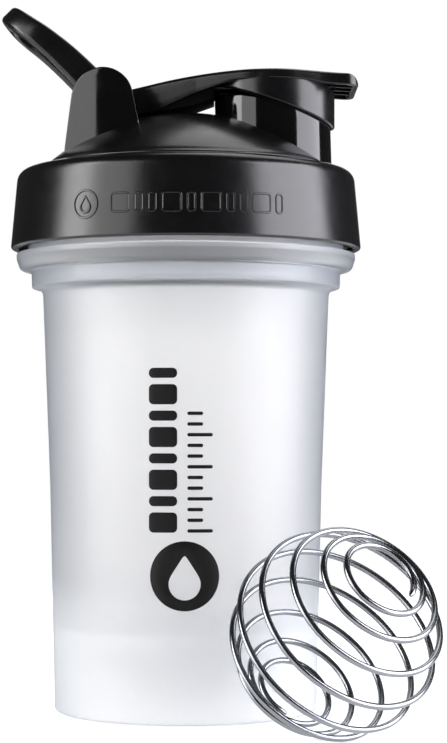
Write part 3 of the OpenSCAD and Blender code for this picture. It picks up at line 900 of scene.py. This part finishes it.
def wire_way(t):
    """Unit vector from the ball's middle to the wire, t turns from the middle."""
    half = BALL_TURNS / 2
    u = min(half, max(-half, t))
    polar = math.radians(90 + MID_STEP * u - STEP_FADE * u ** 3 + TAIL_STEP * (t - u))
    a = 2 * math.pi * t
    return Vector((math.sin(polar) * math.cos(a), math.sin(polar) * math.sin(a), math.cos(polar)))


def make_whisk_ball():
    """One wire wound round a sphere. Its UV map runs along and around the wire."""
    sides, per_turn, end_steps = 16, 90, 4
    radius = WIRE_D / 2
    coil = BALL_D / 2 - radius
    half = BALL_TURNS / 2 + TAIL_TURNS
    steps = round(2 * half * per_turn)
    tilt = [Matrix.Rotation(math.radians(a), 3, axis) for a, axis in zip(BALL_TILT, "XYZ")]
    place = tilt[2] @ tilt[1] @ tilt[0] @ Matrix.Rotation(math.radians(BALL_SPIN), 3, "Z")
    around_wire = [2 * math.pi * j / sides for j in range(sides)]
    rows, lengths, run = [], [], 0.0
    for i in range(steps + 1):
        t = 2 * half * i / steps - half
        out = wire_way(t)
        ahead = (wire_way(t + 0.002) - wire_way(t - 0.002)).normalized()
        side = ahead.cross(out)
        near_end = min(i, steps - i)
        r = radius * math.sqrt(1 - (1 - min(1, (near_end + 0.4) / end_steps)) ** 2)
        row = [out * (coil + r * math.cos(a)) + side * r * math.sin(a) for a in around_wire]
        rows.append([tuple(place @ p + Vector(BALL_POS)) for p in row])
        lengths.append(run)
        run += (wire_way(t + 1 / per_turn) - out).length * coil
    obj = loft("whisk_ball_wire", "ball", WIRE, rows, sharp=60)
    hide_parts("whisk_ball")
    uv = obj.data.uv_layers.new(name="along")
    for loop in obj.data.loops:
        row, j = divmod(loop.vertex_index, sides)
        around = min(j, sides - j) * 2 * math.pi * radius / sides
        uv.data[loop.index].uv = (lengths[row] * UV_ALONG, around * UV_AROUND)


# ---------------------------------------------------------------- prints and raised marks


def on_turned_wall(radius, azimuth=0.0):
    """Maps a flat (u, height, lift) on to a turned wall, with u measured along it from that azimuth.
    Azimuth runs from the camera's side, positive to the right."""
    start = math.radians(azimuth)

    def place(u, z, lift):
        r = radius(z)
        a = start + u / r
        return ((r + lift) * math.sin(a), -(r + lift) * math.cos(a), z)
    return place


def relief(name, body, material, shapes, place):
    """Many small raised shapes as one piece. A shape is a list of rings of (u, z, lift) of equal length."""
    points, faces = [], []
    for rings, closed in shapes:
        start, n = len(points), len(rings[0])
        for ring in rings:
            points += [place(*p) for p in ring]
        for face in grid_faces(len(rings), n, loop=closed):
            faces.append(tuple(start + i for i in face))
        if not closed:
            faces.append(tuple(start + i for i in reversed(range(n))))
            faces.append(tuple(start + (len(rings) - 1) * n + i for i in range(n)))
    return piece(name, body, material, points, faces, 40)


def rounded_outline(u, z, wide, high, corner, across=12):
    """A rounded oblong. Its long edges are divided, so that they can follow a round wall."""
    w, h = wide / 2, high / 2
    out = []
    for sx, sz, a0 in ((1, 1, 0), (-1, 1, 90), (-1, -1, 180), (1, -1, 270)):
        out += arc(u + sx * (w - corner), z + sz * (h - corner), corner, a0, a0 + 90, 6)
        if sx == sz:
            x0, x1 = out[-1][0], 2 * u - out[-1][0]
            out += [(x0 + (x1 - x0) * k / across, z + sz * h) for k in range(1, across)]
    return out


def bar(u, z, wide, high, lift, corner, soft, sunk=0.15):
    """A raised bar with round corners, as rings from its buried foot to its middle."""
    corner = min(corner, wide * 0.49, high * 0.49)
    rings = []
    for inset, up in ((0, -sunk), (0, lift - soft), (soft * 0.3, lift - soft * 0.3), (soft, lift)):
        outline = rounded_outline(u, z, wide - 2 * inset, high - 2 * inset, max(corner - inset, 0.02))
        rings.append([(a, b, up) for a, b in outline])
    top = rings[-1]
    rings += [[(u + (a - u) * k, z + (b - z) * k, up) for a, b, up in top] for k in (0.66, 0.33, 0.02)]
    return rings, False


def drop_outline(u, z, r, steps):
    """A water drop with its point up, 2.75 radii tall."""
    out = []
    for i in range(steps):
        a = 2 * math.pi * i / steps
        lean = max(0, math.sin(a)) ** 3
        across = r * math.cos(a) * (1 - 0.55 * lean)
        out.append((u + across, z + r * math.sin(a) + r * 0.75 * lean - r * 0.35))
    return out


def ring_shape(outer, inner, lift, soft, sunk=0.15):
    """A raised band between two outlines with equally many points."""
    def row(line, up, t=0.0):
        return [(a[0] + ((b[0] - a[0]) * t), a[1] + ((b[1] - a[1]) * t), up) for a, b in zip(line, inner)]
    gap = min((Vector(a) - Vector(b)).length for a, b in zip(outer, inner))
    t = min(0.4, soft / gap)
    rows = [row(outer, -sunk), row(outer, lift - soft)]
    rows += [row(outer, lift, k) for k in (t, 0.5, 1 - t)]
    rows += [row(inner, lift - soft), row(inner, -sunk)]
    return rows, True


def cup_radius(z):
    """Outside radius of the bottle's wall."""
    if z < GRIP_Z:
        return FOOT_R + (GRIP_R - FOOT_R) * z / GRIP_Z
    return GRIP_R + (SHOULDER_R - GRIP_R) * (z - GRIP_Z) / (SHOULDER_Z - GRIP_Z)


def skirt_radius(z):
    """Outside radius of the lid's skirt."""
    return LID_R + (LID_TOP_R - LID_R) * (z - LID_Z) / (LID_TOP_Z - LID_Z)


INK_LIFT, INK_SOFT, INK_GAP = 0.04, 0.02, 1.6
BOLD_COLUMN = (-5.3, 7.4, 49.8, 92.4)   # middle, width, lowest and highest point
BOLD_TALL, BOLD_CORNER = (5.2, 2.6), 1.2
SLIM_COLUMN = (4.3, 6.6, 49.8, 12)      # middle, width, lowest point, number of ticks
TICK_T, TICK_STEP, SHORT_TICK = 0.9, 2.75, 0.62
BADGE = (0.3, 38.6, 9.0)                # middle, height, radius
SIGN = (-26.5, 134.2, 3.9, 3.3)         # middle, height, outer and inner radius
SIGN_DROP = (1.75, 1.2)                 # outer and inner radius
SIGN_LIFT, SIGN_SOFT, MARKS_LEFT = 0.28, 0.14, -19.2
WIDE_BAR, SLIM_BAR, BAR_TALL, BAR_GAP, BAR_LINE = 5.4, 2.4, 5.4, 1.15, 0.55
FILL_AZIMUTH, FILL_LOW, FILL_STEP, FILL_COUNT = -98, 34, 5, 15
FILL_LONG, FILL_SHORT = (0, 8.0), (-1.4, 5.2)  # middle, length
FILL_T, FILL_LIFT, FILL_CORNER, FILL_SOFT = 0.7, 0.16, 0.34, 0.08


def make_prints():
    """Plain printed marks: a bold column of bars, a column of ticks, and a round badge with a drop in it."""
    shapes = []
    u, wide, z, high = BOLD_COLUMN
    for tall in BOLD_TALL * 4:
        if z + tall <= high:
            shapes.append(bar(u, z + tall / 2, wide, tall, INK_LIFT, BOLD_CORNER, INK_SOFT))
        z += tall + INK_GAP
    u, wide, z, count = SLIM_COLUMN
    for i in range(count):
        length = wide if i % 3 == 0 else wide * SHORT_TICK
        middle = u - (wide - length) / 2
        shapes.append(bar(middle, z + TICK_T / 2, length, TICK_T, INK_LIFT, TICK_T / 2, INK_SOFT))
        z += TICK_STEP
    u, z, r = BADGE
    steps = 72
    drop = drop_outline(u, z - 0.6, r * 0.46, steps)
    shapes.append(ring_shape(circle(u, z, r, steps), drop, INK_LIFT, INK_SOFT))
    relief("front_print", "bottle", INK, shapes, on_turned_wall(cup_radius))


def make_lid_marks():
    """A low moulded pattern round the front of the lid: a ring with a drop, then a row of hollow bars."""
    u, z, r0, r1 = SIGN
    steps = 48
    pairs = [(circle(u, z, r0, steps), circle(u, z, r1, steps)),
             tuple(drop_outline(u, z - 0.2, r, steps) for r in SIGN_DROP)]
    u = MARKS_LEFT
    for wide in (WIDE_BAR, SLIM_BAR, SLIM_BAR, WIDE_BAR, SLIM_BAR) * 2:
        middle = u + wide / 2
        pairs.append((rounded_outline(middle, z, wide, BAR_TALL, 2 * BAR_LINE),
                      rounded_outline(middle, z, wide - 2 * BAR_LINE, BAR_TALL - 2 * BAR_LINE, BAR_LINE)))
        u += wide + BAR_GAP
    shapes = [ring_shape(outer, inner, SIGN_LIFT, SIGN_SOFT) for outer, inner in pairs]
    relief("lid_marks", "lid", SATIN, shapes, on_turned_wall(skirt_radius))


def make_fill_marks():
    """Raised fill lines on the bottle's left side, without numbers. Every second one is longer."""
    shapes = []
    for i in range(FILL_COUNT):
        u, wide = FILL_LONG if i % 2 == 0 else FILL_SHORT
        shapes.append(bar(u, FILL_LOW + FILL_STEP * i, wide, FILL_T, FILL_LIFT, FILL_CORNER, FILL_SOFT))
    relief("fill_marks", "bottle", CLEAR, shapes, on_turned_wall(cup_radius, FILL_AZIMUTH))


# ---------------------------------------------------------------- CAD nodes that stay, floor


def dress_cad_nodes():
    """Materials for the nodes that show their CAD mesh."""
    for node, material in (("lid_seal", RUBBER), ("spout_plug", RUBBER), ("hinge_pin", TURNED)):
        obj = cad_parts[node]
        obj.data.materials.clear()
        obj.data.materials.append(material)


def make_floor():
    """A plain plate just under the object."""
    mesh = bpy.data.meshes.new("floor")
    x, y = FLOOR_HALF_X, FLOOR_HALF_Y
    corners = [(-x, -y, 0), (x, -y, 0), (x, y, 0), (-x, y, 0)]
    mesh.from_pydata([Vector(p) * MM for p in corners], [], [(0, 1, 2, 3)])
    floor = bpy.data.objects.new("floor", mesh)
    floor.location.z = -FLOOR_DROP * MM
    scene.collection.objects.link(floor)
    floor.data.materials.append(pale_floor())


make_camera()
make_light()
make_floor()
make_bottle()
thread("neck_thread", "bottle", CLEAR, NECK_R - THREAD_ROOT, NECK_R + THREAD_H, THREAD_Z)
make_lid()
thread("lid_thread", "lid", SATIN,
       LID_IN_R + THREAD_ROOT, LID_IN_R - THREAD_H, THREAD_Z - THREAD_PITCH / 2)
make_ears()
make_spout()
make_cap_skin()
make_cap_cover()
make_cap_inside()
make_carry_loop()
make_whisk_ball()
make_prints()
make_lid_marks()
make_fill_marks()
dress_cad_nodes()
